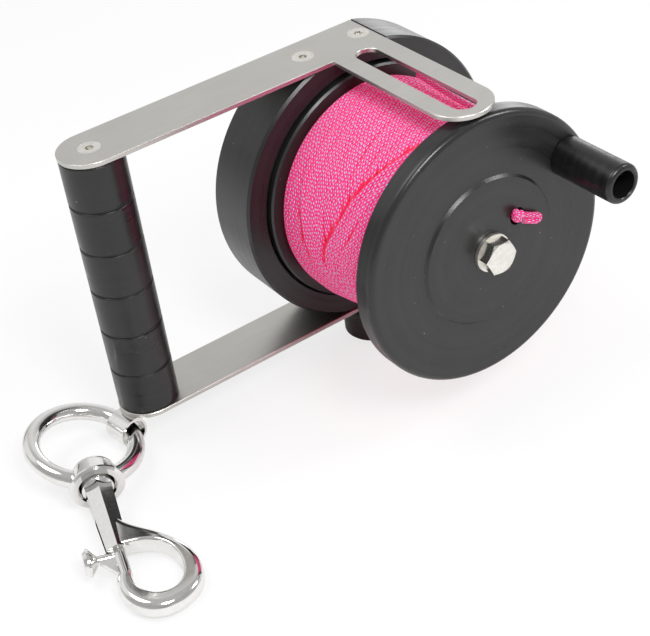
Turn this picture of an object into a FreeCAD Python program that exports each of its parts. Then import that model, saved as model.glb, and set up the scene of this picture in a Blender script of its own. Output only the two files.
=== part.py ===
import FreeCAD, Part
import math
import os

# Dive reel. Millimetres. +X runs from the hand grip to the spool, +Z runs up along the grip, and
# the spool turns about Y, with its front flange towards -Y.
# The origin is on the spool's axis, in the plane of the housing's flat rear face.

# Hand grip, a grooved acetal bar between the two plates
grip_radius = 12.7
grip_offset = 115.9
grip_segments = 6
grip_groove_width = 1.1
grip_groove_depth = 0.7
grip_groove_lip = 0.35
grip_edge = 0.8

# Stainless plates
plate_thickness = 2.0
plate_width = 25.8
plate_lead = 0.7
plate_edge = 0.25
guide_arm_centre = 1.0
guide_arm_width = 26.8
guide_tip_margin = 5.3
guide_slot_centre = 0.65
guide_slot_width = 10.1
guide_slot_start = 26.7
guide_slot_length = 69.0
guide_gap = 1.2

# Housing, a turned acetal cup behind the spool
housing_rise = 2.0
housing_depth = 25.4
housing_edge = 1.0
recess_depth = 8.5
recess_gap = 0.75
nut_pocket_radius = 10.0
nut_pocket_depth = 9.3
pocket_gap = 0.3

# Spool
flange_radius = 57.3
flange_thickness = 9.5
flange_round = 2.4
flange_face = 100.9
spool_boss_radius = 31.8
spool_boss_height = 1.1
brake_step = 4.95
brake_proud = 2.6
brake_gap = 0.6
barrel_radius = 14.0
spool_edge = 0.8
line_hole_radius = 3.7
line_hole_x = 14.2
line_hole_z = 9.6

# Axle bolt, washers and nut
axle_radius = 4.0
hex_flats = 13.0
hex_head_height = 5.3
hex_head_turn = 34
nut_height = 6.5
washer_radius = 8.0
washer_thickness = 1.6
thrust_washer_radius = 11.0
thrust_washer_thickness = 0.5
bolt_end_setback = 0.6

# Countersunk screws
screw_radius = 2.5
screw_head_radius = 4.6
screw_length = 14.0
grip_screw_length = 22.0
drive_radius = 1.6
drive_depth = 1.6
housing_screw_x = (-18.4, 9.1)

# Crank knob on the front flange
crank_inset = 9.28
crank_angle = 30.68
crank_radius = 8.26
crank_length = 31.55
crank_bore_radius = 5.6
crank_web = 8.15
crank_round = 1.8
crank_screw_radius = 3.0
crank_head_radius = 5.0
crank_head_height = 6.0
crank_screw_depth = 7.0
socket_flats = 5.0
socket_depth = 3.0

# Lock knob, its screw and its pad
lock_x = -4.65
lock_y = -20.4
lock_knob_radius = 13.4
lock_knob_height = 14.7
lock_knob_gap = 0.8
lock_knob_edge = 0.8
lock_screw_radius = 3.0
lock_pad_radius = 2.8
lock_pad_height = 2.4
lock_pad_gap = 0.55
lock_pivot_radius = 1.2
lock_pivot_height = 1.2
lock_screw_embed = 10.0

# Line
line_radius = 1.2
line_turns = 20
line_below_rim = 7.3
line_shoulder = 4.5
line_side_gap = 0.4
line_tail_length = 44.7
line_tail_lift = 2.2

# Folded clip under the grip
clip_yaw = 10.0
clip_width = 11.0
clip_strap = 1.0
clip_loop_radius = 6.4
clip_reach = 14.2
clip_tail = 6.5

# Swivel ring of the snap
ring_radius = 21.2
ring_wire_radius = 3.65
ring_yaw = -106.8
ring_pitch = 5.07
ring_roll = -14.0
ring_clip_angle = 110.7
ring_seat = 0.36
boss_radius = 11.2
boss_top_radius = 8.9
boss_inner = 6.0
boss_outer = 5.0
boss_round = 2.4
boss_recess_radius = 7.9
boss_recess_depth = 3.4

# Snap body, placed along the swivel's axis from the centre of the ring's wire
swivel_angle = 9.5
pin_radius = 3.0
rivet_radius = 4.7
rivet_height = 1.4
collar_radius = 7.3
collar_height = 3.9
neck_radius = 5.6
stem_start_flats = 10.9
stem_end_flats = 8.6
barrel_end = 41.0
hook_opening = 13.6
hook_size = 34.0
hook_thickness = 8.4
hook_outer_round = 3.4
hook_inner_round = 1.0

# Sliding gate, thumb stud and spring
gate_radius = 2.6
gate_length = 24.4
gate_travel = 13.0
gate_gap = 0.2
gate_slot_start = 22.5
stud_ahead = 1.4
stud_radius = 1.75
stud_reach = 9.4
stud_web_length = 7.5
stud_web_thickness = 2.4
thumb_radius = 5.4
thumb_height = 4.2
thumb_rim = 1.0
spring_wire_radius = 0.3
spring_radius = 1.9
spring_turns = 7
spring_gap = 0.3

# Clearances
running_gap = 0.06
seat_gap = 0.05
face_gap = 0.15

X = FreeCAD.Vector(1, 0, 0)
Y = FreeCAD.Vector(0, 1, 0)
Z = FreeCAD.Vector(0, 0, 1)

# Places that follow from the sizes
seat_z = flange_radius + guide_gap
grip_length = 2 * seat_z
housing_radius = seat_z + plate_thickness + housing_rise
brake_radius = flange_radius - brake_step
line_radius_wound = flange_radius - line_below_rim
crank_x = (flange_radius - crank_inset) * math.cos(math.radians(crank_angle))
crank_z = (flange_radius - crank_inset) * math.sin(math.radians(crank_angle))
plate_y = -(housing_depth / 2 + plate_lead)
guide_arm_reach = guide_slot_start + guide_slot_length + guide_tip_margin
guide_arm_left = guide_arm_centre - guide_arm_width / 2
guide_arm_right = guide_arm_centre + guide_arm_width / 2
grip_x = -grip_offset
recess_radius = brake_radius + recess_gap
recess_floor = -housing_depth + recess_depth
brake_front = -(housing_depth + brake_proud)
brake_back = recess_floor - brake_gap
flange_back = -flange_face + flange_thickness
boss_face = -flange_face - spool_boss_height
washer_back = boss_face - face_gap
head_back = washer_back - washer_thickness
crank_base = -flange_face - face_gap
crank_end = crank_base - crank_length


def point(x, y, z):
    return FreeCAD.Vector(x, y, z)


def rod(radius, start, direction, length):
    """A round bar from start along direction."""
    return Part.makeCylinder(radius, length, start, direction)


def turned(outline, axis_point, axis):
    """A solid turned about an axis. The outline holds (radius, distance along the axis) pairs,
    or a triple whose last item is the pair that an arc passes through on its way to the next."""
    side = Z if abs(axis.dot(Z)) < 0.9 else X
    side = (side - axis * side.dot(axis)).normalize()

    def place(pair):
        return axis_point + side * pair[0] + axis * pair[1]

    edges = []
    for index, corner in enumerate(outline):
        following = outline[(index + 1) % len(outline)]
        first, last = place(corner[:2]), place(following[:2])
        if len(corner) == 3:
            edges.append(Part.Arc(first, place(corner[2]), last).toShape())
        elif first.distanceToPoint(last) > 1e-6:
            edges.append(Part.makeLine(first, last))
    return Part.Face(Part.Wire(edges)).revolve(axis_point, axis, 360)


def corner_arc(radius_at, place_at, size, quadrant):
    """The middle of a quarter-round corner of the given size, centred at the given pair."""
    angle = math.radians(45 + 90 * quadrant)
    return (radius_at + size * math.cos(angle), place_at + size * math.sin(angle))


def hexagon_bar(flats, start, direction, length, turned_by=0):
    """A hexagonal bar. Its first corner points away from X as seen along the direction."""
    side = (X - direction * X.dot(direction)).normalize()
    corners = []
    for step in range(7):
        turn = FreeCAD.Rotation(direction, 60 * step + 30 + turned_by)
        corners.append(start + turn.multVec(side) * (flats / math.sqrt(3)))
    return Part.Face(Part.makePolygon(corners)).extrude(direction * length)


def flat_ring(outer, inner, start, direction, thickness):
    """A plain washer."""
    return rod(outer, start, direction, thickness).cut(rod(inner, start, direction, thickness))


def countersink(x, y, face_z, up, gap=0.0):
    """The cone of a countersunk head whose flat top lies at face_z."""
    down = Z * -up
    depth = screw_head_radius - screw_radius
    top = point(x, y, face_z)
    return Part.makeCone(screw_head_radius + gap, screw_radius + gap, depth, top, down)


def countersunk_screw(x, y, face_z, up, length):
    """A countersunk screw with a six-sided drive recess. up is 1 where its head faces +Z."""
    down = Z * -up
    top = point(x, y, face_z)
    screw = countersink(x, y, face_z, up).fuse(rod(screw_radius, top, down, length))
    screw = screw.cut(hexagon_bar(2 * drive_radius, top, down, drive_depth))
    return screw.removeSplitter()


def screw_hole(x, y, face_z, up, length):
    """The space that a countersunk screw takes, with its clearance."""
    down = Z * -up
    shank = rod(screw_radius + seat_gap, point(x, y, face_z), down, length + 1)
    return countersink(x, y, face_z, up, seat_gap).fuse(shank)


def biarc(start, start_way, end, end_way):
    """Two arcs that leave start along start_way and reach end along end_way."""
    chord = end - start
    ways = start_way + end_way
    bend = 2 * (1 - start_way.dot(end_way))
    along = chord.dot(ways)
    if bend < 1e-9:
        reach = chord.dot(chord) / (2 * along)
    else:
        reach = (math.sqrt(along * along + bend * chord.dot(chord)) - along) / bend
    first_control = start + start_way * reach
    second_control = end - end_way * reach
    middle = (first_control + second_control) * 0.5
    return [tangent_arc(start, first_control, middle), tangent_arc(middle, second_control, end)]


def tangent_arc(start, control, end):
    """The arc from start to end whose end tangents meet at control."""
    middle = (start + end) * 0.5
    rise = control - middle
    half_chord = start.distanceToPoint(end) / 2
    half_turn = math.atan(rise.Length / half_chord)
    top = middle + rise.normalize() * (half_chord * math.tan(half_turn / 2))
    return Part.Arc(start, top, end).toShape()


def wound_tube(route, turns, tube_radius, steps_per_turn, sides):
    """One unbroken tube along a winding route, with straight ends one diameter long.
    route gives the point of the centre line at a number of turns."""
    small = 1e-4

    def way(turn):
        return (route(turn + small) - route(turn - small)).normalize()

    count = int(round(turns * steps_per_turn))
    stations = [turns * index / count for index in range(count + 1)]
    first, last = stations[0], stations[-1]
    begin = route(first) - way(first) * (2 * tube_radius)
    finish = route(last) + way(last) * (2 * tube_radius)
    edges = [Part.makeLine(begin, route(first))]
    for now, later in zip(stations, stations[1:]):
        edges += biarc(route(now), way(now), route(later), way(later))
    edges.append(Part.makeLine(route(last), finish))
    across = way(first).cross(Y if abs(way(first).dot(Y)) < 0.9 else X).normalize()
    corners = []
    for index in range(sides + 1):
        spoke = FreeCAD.Rotation(way(first), 360.0 * index / sides).multVec(across)
        corners.append(begin + spoke * tube_radius)
    section = Part.makePolygon(corners)
    return Part.Wire(edges).makePipeShell([section], True, False)


def least_gap(route, turns, tube_radius):
    """The least gap between neighbouring turns, measured on points of the centre line."""
    per_turn = 48
    points = [route(index / per_turn) for index in range(int(turns * per_turn) + 1)]
    nearest = min(
        points[index].distanceToPoint(points[other])
        for index in range(len(points))
        for other in range(index + per_turn // 2, min(index + 2 * per_turn, len(points)))
    )
    return nearest - 2 * tube_radius


def plate_outline_bottom():
    """The straight plate from the grip to the housing, seen from above."""
    half = plate_width / 2
    back, front = plate_y + half, plate_y - half
    left_back = point(grip_x, back, 0)
    left_front = point(grip_x, front, 0)
    return Part.Wire([
        Part.Arc(left_back, point(grip_x - half, plate_y, 0), left_front).toShape(),
        Part.makeLine(left_front, point(guide_arm_right, front, 0)),
        Part.makeLine(point(guide_arm_right, front, 0), point(guide_arm_right, back, 0)),
        Part.makeLine(point(guide_arm_right, back, 0), left_back),
    ])


def plate_outline_top():
    """The L-shaped plate, whose arm reaches over the line as a guide."""
    half = plate_width / 2
    back, front = plate_y + half, plate_y - half
    arm_half = guide_arm_width / 2
    arm_end = -guide_arm_reach + arm_half
    left_back = point(grip_x, back, 0)
    left_front = point(grip_x, front, 0)
    inner = point(guide_arm_left, front, 0)
    tip_left = point(guide_arm_left, arm_end, 0)
    tip_right = point(guide_arm_right, arm_end, 0)
    tip = point(guide_arm_centre, -guide_arm_reach, 0)
    outer = point(guide_arm_right, back, 0)
    return Part.Wire([
        Part.Arc(left_back, point(grip_x - half, plate_y, 0), left_front).toShape(),
        Part.makeLine(left_front, inner),
        Part.makeLine(inner, tip_left),
        Part.Arc(tip_left, tip, tip_right).toShape(),
        Part.makeLine(tip_right, outer),
        Part.makeLine(outer, left_back),
    ])


def slot_cutter():
    """The long round-ended slot that the line runs out through."""
    half = guide_slot_width / 2
    near = -guide_slot_start - half
    far = -guide_slot_start - guide_slot_length + half
    right_near = point(guide_slot_centre + half, near, 0)
    left_near = point(guide_slot_centre - half, near, 0)
    right_far = point(guide_slot_centre + half, far, 0)
    left_far = point(guide_slot_centre - half, far, 0)
    outline = Part.Wire([
        Part.Arc(right_near, point(guide_slot_centre, near + half, 0), left_near).toShape(),
        Part.makeLine(left_near, left_far),
        Part.Arc(left_far, point(guide_slot_centre, far - half, 0), right_far).toShape(),
        Part.makeLine(right_far, right_near),
    ])
    return Part.Face(outline).extrude(Z * plate_thickness)


def eased(plate, size):
    """A plate with the long edges of its two faces eased."""
    flat_edges = [
        edge for edge in plate.Edges
        if abs(edge.BoundBox.ZLength) < 1e-6 and edge.Length > 4 * plate_thickness
    ]
    return plate.makeChamfer(size, flat_edges)


def top_plate():
    plate = Part.Face(plate_outline_top()).extrude(Z * plate_thickness).cut(slot_cutter())
    plate = eased(plate, plate_edge)
    plate.translate(Z * seat_z)
    face = seat_z + plate_thickness
    plate = plate.cut(screw_hole(grip_x, plate_y, face, 1, screw_length))
    for x in housing_screw_x:
        plate = plate.cut(screw_hole(x, plate_y, face, 1, screw_length))
    return plate


def bottom_plate():
    plate = Part.Face(plate_outline_bottom()).extrude(Z * plate_thickness)
    plate = eased(plate, plate_edge)
    plate.translate(Z * (-seat_z - plate_thickness))
    face = -seat_z - plate_thickness
    plate = plate.cut(rod(screw_radius + seat_gap, point(grip_x, plate_y, face), Z, plate_thickness))
    for x in housing_screw_x:
        plate = plate.cut(screw_hole(x, plate_y, face, -1, screw_length))
    hole = point(lock_x, lock_y, face)
    return plate.cut(rod(lock_screw_radius + pocket_gap, hole, Z, plate_thickness))


def hand_grip():
    """The grip is turned from one bar, with grooves that part it into equal bands."""
    pitch = grip_length / grip_segments
    half_groove, lip = grip_groove_width / 2, grip_groove_lip
    inner = grip_radius - grip_groove_depth
    outline = [(0, 0), (grip_radius - grip_edge, 0), (grip_radius, grip_edge)]
    for index in range(1, grip_segments):
        middle = index * pitch
        low, high = middle - half_groove, middle + half_groove
        outline += [
            (grip_radius, low - lip, corner_arc(grip_radius - lip, low - lip, lip, 0)),
            (grip_radius - lip, low), (inner, middle - half_groove / 2),
            (inner, middle + half_groove / 2),
            (grip_radius - lip, high, corner_arc(grip_radius - lip, high + lip, lip, -1)),
            (grip_radius, high + lip),
        ]
    outline += [(grip_radius, grip_length - grip_edge), (grip_radius - grip_edge, grip_length)]
    outline.append((0, grip_length))
    grip = turned(outline, point(grip_x, plate_y, -seat_z), Z)
    for up in (1, -1):
        start = point(grip_x, plate_y, up * seat_z)
        grip = grip.cut(rod(screw_radius + seat_gap, start, Z * -up, grip_screw_length))
    return grip


def housing():
    """The cup that the spool's rear flange turns in, with a flat pocket for each plate."""
    edge = housing_edge
    outline = [
        (0, 0), (housing_radius - edge, 0), (housing_radius, -edge),
        (housing_radius, -housing_depth + edge), (housing_radius - edge, -housing_depth),
        (recess_radius + edge / 2, -housing_depth), (recess_radius, -housing_depth + edge / 2),
        (recess_radius, recess_floor), (0, recess_floor),
    ]
    cup = turned(outline, point(0, 0, 0), Y)
    pocket_end = guide_arm_right + pocket_gap
    pocket_width = 2 * housing_radius
    for up in (1, -1):
        low = seat_z if up == 1 else -seat_z - housing_radius
        corner = point(pocket_end - pocket_width, -housing_depth - 1, low)
        cup = cup.cut(Part.makeBox(pocket_width, housing_depth + 2, housing_radius, corner))
        face = up * (seat_z + plate_thickness)
        for x in housing_screw_x:
            start = point(x, plate_y, face)
            cup = cup.cut(rod(screw_radius + seat_gap, start, Z * -up, screw_length + 1))
    cup = cup.cut(rod(axle_radius + seat_gap, point(0, -housing_depth, 0), Y, housing_depth))
    cup = cup.cut(rod(nut_pocket_radius, point(0, -nut_pocket_depth, 0), Y, nut_pocket_depth))
    hole = point(lock_x, lock_y, -housing_radius)
    return cup.cut(rod(lock_screw_radius + seat_gap, hole, Z, housing_radius - barrel_radius))


def spool():
    """Rear flange, barrel and front flange, turned from one bar."""
    edge = spool_edge
    rim = flange_round
    outline = [
        (axle_radius + running_gap, brake_back), (brake_radius - edge, brake_back),
        (brake_radius, brake_back - edge), (brake_radius, brake_front + edge),
        (brake_radius - edge, brake_front), (barrel_radius, brake_front),
        (barrel_radius, flange_back), (flange_radius - edge, flange_back),
        (flange_radius, flange_back - edge),
        (flange_radius, -flange_face + rim,
         corner_arc(flange_radius - rim, -flange_face + rim, rim, -1)),
        (flange_radius - rim, -flange_face), (spool_boss_radius, -flange_face),
        (spool_boss_radius - spool_boss_height, boss_face),
        (axle_radius + running_gap, boss_face),
    ]
    body = turned(outline, point(0, 0, 0), Y)
    hole = point(line_hole_x, boss_face, line_hole_z)
    body = body.cut(rod(line_hole_radius, hole, Y, flange_thickness + spool_boss_height))
    thread = point(crank_x, -flange_face, crank_z)
    return body.cut(rod(crank_screw_radius + seat_gap, thread, Y, crank_screw_depth + 1))


def axle_bolt():
    """A hexagon bolt through the spool and the housing. Its head has a turned chamfer."""
    head_front = head_back - hex_head_height
    corner = hex_flats / math.sqrt(3)
    head = hexagon_bar(hex_flats, point(0, head_front, 0), Y, hex_head_height, hex_head_turn)
    cap = turned(
        [(0, 0), (hex_flats / 2 - 0.2, 0), (corner + 0.1, 0.7), (corner + 0.1, hex_head_height),
         (0, hex_head_height)],
        point(0, head_front, 0), Y)
    length = -head_back - bolt_end_setback
    return head.common(cap).fuse(rod(axle_radius, point(0, head_back, 0), Y, length))


def axle_nut():
    start = point(0, -nut_pocket_depth + washer_thickness, 0)
    nut = hexagon_bar(hex_flats, start, Y, nut_height)
    return nut.cut(rod(axle_radius + seat_gap, start, Y, nut_height))


def crank_knob():
    """A sleeve that turns on its screw, with a rounded outer end and a deep bore."""
    rim = crank_round
    outline = [
        (crank_screw_radius + running_gap, 0), (crank_radius - 0.4, 0), (crank_radius, -0.4),
        (crank_radius, -crank_length + rim,
         corner_arc(crank_radius - rim, -crank_length + rim, rim, -1)),
        (crank_radius - rim, -crank_length), (crank_bore_radius + 0.4, -crank_length),
        (crank_bore_radius, -crank_length + 0.4), (crank_bore_radius, -crank_web),
        (crank_screw_radius + running_gap, -crank_web),
    ]
    return turned(outline, point(crank_x, crank_base, crank_z), Y)


def crank_screw():
    """A socket screw whose head holds the sleeve against the flange."""
    under_head = crank_base - crank_web - face_gap
    head_front = under_head - crank_head_height
    head = point(crank_x, head_front, crank_z)
    shank = point(crank_x, under_head, crank_z)
    reach = -flange_face + crank_screw_depth - under_head
    screw = rod(crank_head_radius, head, Y, crank_head_height)
    screw = screw.fuse(rod(crank_screw_radius, shank, Y, reach))
    return screw.cut(hexagon_bar(socket_flats, head, Y, socket_depth))


def lock_heights():
    """The pad's foot and the knob's top, worked out from the flange's rim and the plate."""
    pad_foot = -brake_radius - lock_pad_gap - lock_pad_height
    return pad_foot, -seat_z - plate_thickness - lock_knob_gap


def lock_pad():
    """The pad that the lock screw presses on the rim of the rear flange, hollowed to fit it."""
    pad_foot, _ = lock_heights()
    foot = point(lock_x, lock_y, pad_foot)
    pad = rod(lock_pad_radius, foot, Z, 2 * lock_pad_height)
    reach = 2 * lock_pad_radius
    rim = rod(brake_radius + lock_pad_gap, point(0, lock_y - reach, 0), Y, 2 * reach)
    pivot = rod(lock_pivot_radius + running_gap, foot, Z, lock_pivot_height + running_gap)
    return pad.cut(rim).cut(pivot)


def lock_screw():
    """The lock knob's screw, with the small pivot that the pad swivels on."""
    pad_foot, knob_top = lock_heights()
    shoulder = pad_foot - running_gap
    length = shoulder - knob_top + lock_screw_embed
    start = point(lock_x, lock_y, shoulder)
    screw = rod(lock_screw_radius, start, Z * -1, length)
    return screw.fuse(rod(lock_pivot_radius, start, Z, lock_pivot_height))


def lock_knob():
    _, knob_top = lock_heights()
    edge = lock_knob_edge
    radius, height = lock_knob_radius, lock_knob_height
    hole = lock_screw_radius + seat_gap
    outline = [
        (hole, 0), (radius - edge, 0), (radius, -edge), (radius, -height + edge),
        (radius - edge, -height), (0, -height), (0, -lock_screw_embed - seat_gap),
        (hole, -lock_screw_embed - seat_gap),
    ]
    return turned(outline, point(lock_x, lock_y, knob_top), Z)


def winding_radius(y, layer_radius):
    """The radius of the wound line at y, which drops in a round shoulder beside each flange."""
    from_side = min(y - flange_back, brake_front - y)
    if from_side >= line_shoulder:
        return layer_radius
    sunk = 1 - max(from_side, 0) / line_shoulder
    return layer_radius - line_shoulder * (1 - math.sqrt(1 - sunk * sunk))


def line_route(turns):
    """The centre line of the outer layer, from the rear flange to the front one."""
    first = brake_front - line_side_gap - line_radius - line_shoulder * 0.15
    last = flange_back + line_side_gap + line_radius + line_shoulder * 0.15
    y = first + (last - first) * turns / line_turns
    radius = winding_radius(y, line_radius_wound - line_radius)
    angle = 2 * math.pi * turns
    return point(radius * math.cos(angle), y, radius * math.sin(angle))


def line_winding():
    return wound_tube(line_route, line_turns, line_radius, 4, 6)


def line_core():
    """The turns under the outer layer, as one solid on the barrel."""
    sunk_radius = line_radius_wound - 2 * line_radius - seat_gap
    shoulder = line_shoulder
    back, front = brake_front - seat_gap, flange_back + seat_gap
    low = sunk_radius - shoulder
    outline = [
        (barrel_radius, back), (low, back, corner_arc(low, back - shoulder, shoulder, 0)),
        (sunk_radius, back - shoulder), (sunk_radius, front + shoulder,
                                         corner_arc(low, front + shoulder, shoulder, -1)),
        (low, front), (barrel_radius, front),
    ]
    return turned(outline, point(0, 0, 0), Y)


def cord(name, route, radius):
    """A tube along straight runs with a tangent arc at each point, as wide as its runs allow."""
    edges, bends, now, length = [], [], route[0], 0
    for before, corner, after in zip(route, route[1:], route[2:]):
        into, out = (corner - before).normalize(), (after - corner).normalize()
        reach = 0.45 * min(corner.distanceToPoint(before), corner.distanceToPoint(after))
        start, end = corner - into * reach, corner + out * reach
        half_turn = into.getAngle(out) / 2
        bends.append(round(reach / math.tan(half_turn), 1))
        edges += [Part.LineSegment(now, start).toShape(), tangent_arc(start, corner, end)]
        now = end
    edges.append(Part.LineSegment(now, route[-1]).toShape())
    length = sum(edge.Length for edge in edges)
    path = Part.Wire(edges)
    section = Part.Wire(Part.makeCircle(radius, route[0], route[1] - route[0]))
    tube = path.makePipeShell([section], True, False)
    print(name, "radii", bends, "length", round(length, 1), "volume over section times length",
          round(tube.Volume / (math.pi * radius * radius * length), 3))
    return tube


def line_tail():
    """The loose outer end of the line. It lies along the turns and lifts towards its cut end."""
    radius = line_radius
    over = line_radius_wound + radius + 0.2

    def lifted(y, angle, rise=0.0):
        turn = math.radians(angle)
        return point((over + rise) * math.sin(turn), y, (over + rise) * math.cos(turn))

    return cord("line tail", [
        lifted(flange_back + seat_gap, 14.0),
        lifted(flange_back + 0.27 * line_tail_length, 14.2),
        lifted(flange_back + 0.56 * line_tail_length, 14.7, 0.14 * line_tail_lift),
        lifted(flange_back + 0.8 * line_tail_length, 14.6, 0.45 * line_tail_lift),
        lifted(flange_back + line_tail_length, 14.1, line_tail_lift),
    ], radius)


def line_knot():
    """The inner end of the line, knotted where it comes out of the front flange."""
    mouth = point(line_hole_x, boss_face, line_hole_z)
    out = mouth - Y * (line_radius + 0.25)
    tail = cord("knot tail", [
        mouth + Y * 5.0, out, out + X * 5.5 - Z * 1.6, out + X * 12.0 - Z * 5.0,
    ], line_radius)
    wrap = Part.makeTorus(1.4 * line_radius, line_radius, mouth - Y * (line_radius * 1.2), Y)
    return tail.fuse(wrap).removeSplitter()


def clip_frame():
    """The clip's outward direction, its loop's axis and the centre of its loop."""
    turn = FreeCAD.Rotation(Z, clip_yaw)
    outward = turn.multVec(X * -1)
    axis = turn.multVec(Y * -1)
    under_plate = -seat_z - plate_thickness
    centre = point(grip_x, plate_y, under_plate - clip_loop_radius) + outward * clip_reach
    return outward, axis, centre


def snap_clip():
    """A strap folded into a loop, with both ends held under the lower plate by one screw."""
    outward, axis, centre = clip_frame()
    screw_at = centre - outward * clip_reach
    outer, inner = clip_loop_radius, clip_loop_radius - clip_strap
    leg = 2 * clip_strap

    def at(out, height, side=-clip_width / 2):
        return centre + outward * out + Z * height + axis * side

    meet = -math.sqrt(outer * outer - (outer - leg) ** 2)
    tail = -clip_reach - clip_tail
    gap = inner * 0.12
    shape = Part.Wire([
        Part.makeLine(at(tail, outer), at(0, outer)),
        Part.Arc(at(0, outer), at(outer, 0), at(0, -outer)).toShape(),
        Part.Arc(at(0, -outer), at(-outer * math.cos(0.3), -outer * math.sin(0.3)),
                 at(meet, outer - leg)).toShape(),
        Part.makeLine(at(meet, outer - leg), at(tail, outer - leg)),
        Part.makeLine(at(tail, outer - leg), at(tail, outer)),
    ])
    strap = Part.Face(shape).extrude(axis * clip_width)
    bore = rod(inner, at(0, 0), axis, clip_width)
    strap = strap.cut(bore)
    fold = Part.Face(Part.makePolygon([
        at(meet + gap, outer - clip_strap - 0.04), at(tail, outer - clip_strap - 0.04),
        at(tail, outer - clip_strap + 0.04), at(meet + gap, outer - clip_strap + 0.04),
        at(meet + gap, outer - clip_strap - 0.04),
    ])).extrude(axis * clip_width)
    strap = strap.cut(fold)
    base = point(screw_at.x, screw_at.y, 0)
    hole = rod(screw_radius + seat_gap, base - Z * housing_radius * 2, Z, housing_radius * 2)
    half = clip_width / 2
    corner = base - outward * (clip_tail + 1)
    rounded = rod(half, point(base.x, base.y, -housing_radius * 2), Z, housing_radius * 2)
    keep = Part.makeBox(clip_reach * 3, clip_width, housing_radius * 2)
    keep.translate(point(0, -half, -housing_radius * 2))
    keep.rotate(point(0, 0, 0), Z, math.degrees(math.atan2(outward.y, outward.x)))
    keep.translate(base)
    return strap.common(keep.fuse(rounded)).cut(hole)


def ring_placement():
    """Where the ring lies: its wire passes through the clip's loop."""
    _, _, loop = clip_frame()
    turn = FreeCAD.Rotation(ring_yaw, ring_pitch, ring_roll)
    angle = math.radians(ring_clip_angle)
    to_clip = turn.multVec(point(math.cos(angle), math.sin(angle), 0))
    centre = loop - to_clip * (ring_radius - ring_seat)
    return FreeCAD.Placement(centre, turn)


def snap_placement():
    """The snap lies along the ring's swivel axis, turned about it."""
    spin = FreeCAD.Placement(point(0, 0, 0), FreeCAD.Rotation(X, swivel_angle))
    out = FreeCAD.Placement(point(ring_radius, 0, 0), FreeCAD.Rotation())
    return ring_placement().multiply(out).multiply(spin)


def placed(shape, placement):
    shape = shape.copy()
    shape.transformShape(placement.toMatrix())
    return shape


def swivel_ring():
    """A round ring whose wire swells into the barrel-shaped boss of the swivel."""
    edge = boss_round
    inner, outer = -boss_inner, boss_outer
    outline = [
        (pin_radius + running_gap, inner + rivet_height + face_gap),
        (rivet_radius + face_gap, inner + rivet_height + face_gap),
        (rivet_radius + face_gap, inner),
        (boss_top_radius - edge, inner,
         corner_arc(boss_top_radius - edge, inner + edge, edge, -1)),
        (boss_top_radius, inner + edge), (boss_radius, outer - 1.6),
        (boss_radius, outer - 0.8), (boss_radius - 0.8, outer), (boss_recess_radius, outer),
        (boss_recess_radius, outer - boss_recess_depth),
        (pin_radius + running_gap, outer - boss_recess_depth),
    ]
    boss = turned(outline, point(ring_radius, 0, 0), X)
    wire = Part.makeTorus(ring_radius, ring_wire_radius, point(0, 0, 0), Z)
    length = boss_inner + boss_outer + 3
    hollow = rod(boss_recess_radius, point(ring_radius + inner - 1, 0, 0), X, length)
    return placed(wire.cut(hollow).fuse(boss), ring_placement())


def hexagon_wire(flats, place):
    """A six-sided section of the stem, square to its axis, with flats beside the hook."""
    corner = flats / 2 / math.cos(math.pi / 6)
    corners = [
        point(place, corner * math.sin(step * math.pi / 3), corner * math.cos(step * math.pi / 3))
        for step in range(7)
    ]
    return Part.makePolygon(corners)


def smooth(places):
    """A smooth curve through places in the hook's plane."""
    curve = Part.BSplineCurve()
    curve.interpolate([point(along, side, 0) for along, side in places])
    return curve.toShape()


def straight(first, last):
    """A straight edge in the hook's plane."""
    return Part.makeLine(point(*first, 0), point(*last, 0))


def hook():
    """The open hook grows out of the barrel's side, goes round the eye and ends at the gate."""
    side = stem_end_flats / 2
    end, tip = barrel_end, barrel_end + hook_opening

    def spread(start, shares):
        return [(start + hook_size * along, side + hook_size * out) for along, out in shares]

    root = (end - 0.515 * hook_size, side - 0.018 * hook_size)
    tip_out = (tip, side - 0.232 * hook_size)
    tip_in = (tip, side - 0.065 * hook_size)
    inner_end = (end - 0.024 * hook_size, side - 0.118 * hook_size)
    outside = [root] + spread(end, [
        (-0.382, 0.035), (-0.279, 0.138), (-0.162, 0.288), (0.147, 0.585),
    ]) + spread(tip, [
        (0.118, 0.706), (0.382, 0.635), (0.571, 0.394), (0.6, 0.065), (0.459, -0.147),
        (0.218, -0.25),
    ]) + [tip_out]
    inside = [tip_in] + spread(tip, [
        (0.176, -0.071), (0.324, 0.018), (0.4, 0.176), (0.347, 0.371), (0.165, 0.482),
        (-0.044, 0.488),
    ]) + spread(end, [(0.124, 0.388), (0.009, 0.206), (-0.018, 0.029)]) + [inner_end]
    corners = [(root[0], inner_end[1]), root]
    edges = [smooth(outside), straight(tip_out, tip_in), smooth(inside),
             straight(inner_end, corners[0]), straight(*corners)]
    solid = Part.Face(Part.Wire(edges)).extrude(Z * hook_thickness)
    solid.translate(Z * (-hook_thickness / 2))
    for size, curve in ((hook_outer_round, edges[0]), (hook_inner_round, edges[2])):
        rims = [
            edge for edge in solid.Edges
            if edge.BoundBox.ZLength < 1e-6 and isinstance(edge.Curve, Part.BSplineCurve)
            and abs(edge.Length - curve.Length) < 0.01 * curve.Length
        ]
        solid = solid.makeFillet(size, rims)
    return solid


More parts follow.
